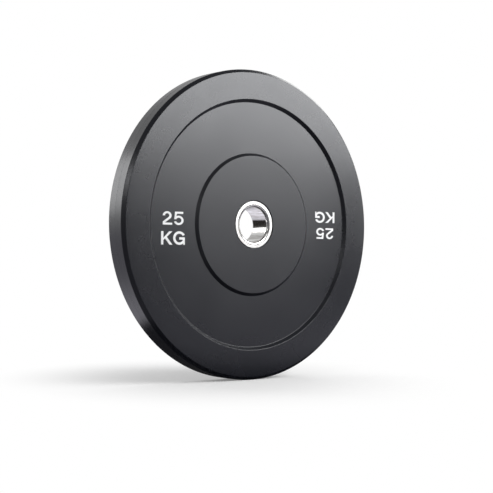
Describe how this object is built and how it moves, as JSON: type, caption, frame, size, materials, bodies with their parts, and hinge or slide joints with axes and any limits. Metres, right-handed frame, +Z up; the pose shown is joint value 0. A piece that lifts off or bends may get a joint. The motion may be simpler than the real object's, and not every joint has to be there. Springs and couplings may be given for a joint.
{
  "type": "weight plate",
  "caption": "Round rubber-covered weight plate with a flat rim, recessed web, low central boss, raised weight marks and a flanged stainless hub bored for a barbell sleeve.",
  "frame": {"origin": "centre of the plate, on the bore's axis, halfway through its thickness", "axes": "+Y along the bore, from the front face to the back face; +Z up with the plate standing on its tread; +X to the right seen from the front"},
  "size_m": [0.45, 0.04, 0.45],
  "materials": {
    "casing_rubber": "moulded black rubber, satin on the faces and a little rougher on the tread",
    "core_steel": "plain machined steel, hidden inside the rubber",
    "hub_stainless": "turned and polished stainless steel",
    "mark_white": "matt white inlay"
  },
  "bodies": {
    "root": {"rubber_casing": "casing_rubber", "steel_core": "core_steel", "hub_sleeve": "hub_stainless", "hub_flange_front": "hub_stainless", "hub_flange_back": "hub_stainless", "front_left_digit_2": "mark_white", "front_left_digit_5": "mark_white", "front_left_letter_k": "mark_white", "front_left_letter_g": "mark_white", "front_right_digit_2": "mark_white", "front_right_digit_5": "mark_white", "front_right_letter_k": "mark_white", "front_right_letter_g": "mark_white", "back_left_digit_2": "mark_white", "back_left_digit_5": "mark_white", "back_left_letter_k": "mark_white", "back_left_letter_g": "mark_white", "back_right_digit_2": "mark_white", "back_right_digit_5": "mark_white", "back_right_letter_k": "mark_white", "back_right_letter_g": "mark_white"}
  },
  "joints": []
}
